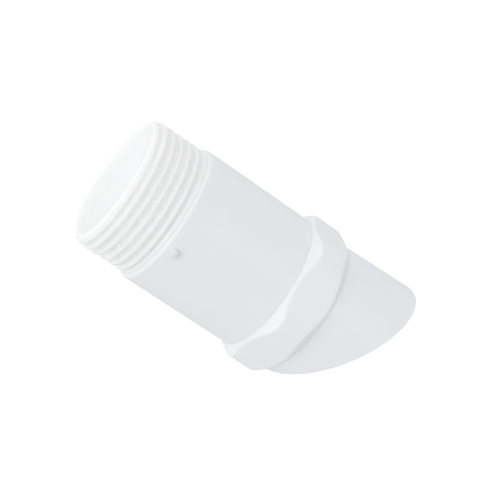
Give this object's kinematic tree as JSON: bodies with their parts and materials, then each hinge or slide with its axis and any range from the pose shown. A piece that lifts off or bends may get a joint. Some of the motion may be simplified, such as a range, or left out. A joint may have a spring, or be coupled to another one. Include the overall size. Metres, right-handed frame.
{
  "type": "threaded fill spout",
  "caption": "Short white plastic fill spout with a male pipe-thread mouth, a plain barrel, a hexagonal wrench collar and a slant-cut outlet.",
  "frame": {"origin": "centre of the open mouth, on the plane of its rim, where the male thread is screwed in", "axes": "+Z along the common axis and out of the threaded mouth, so the spout hangs towards -Z; +X towards the long side of the slanted outlet; the locating pip and the mould's parting plane face -Y"},
  "size_m": [0.036, 0.0392, 0.0755],
  "materials": {
    "neck_white": "thin moulded white plastic that lets a little light through",
    "body_white": "moulded white plastic, semi-gloss",
    "collar_white": "moulded white plastic, semi-gloss",
    "spout_white": "moulded white plastic, semi-gloss"
  },
  "bodies": {
    "root": {"threaded_neck": "neck_white", "barrel": "body_white", "locating_pip": "body_white", "hex_collar": "collar_white", "bevel_spout": "spout_white"}
  },
  "joints": []
}
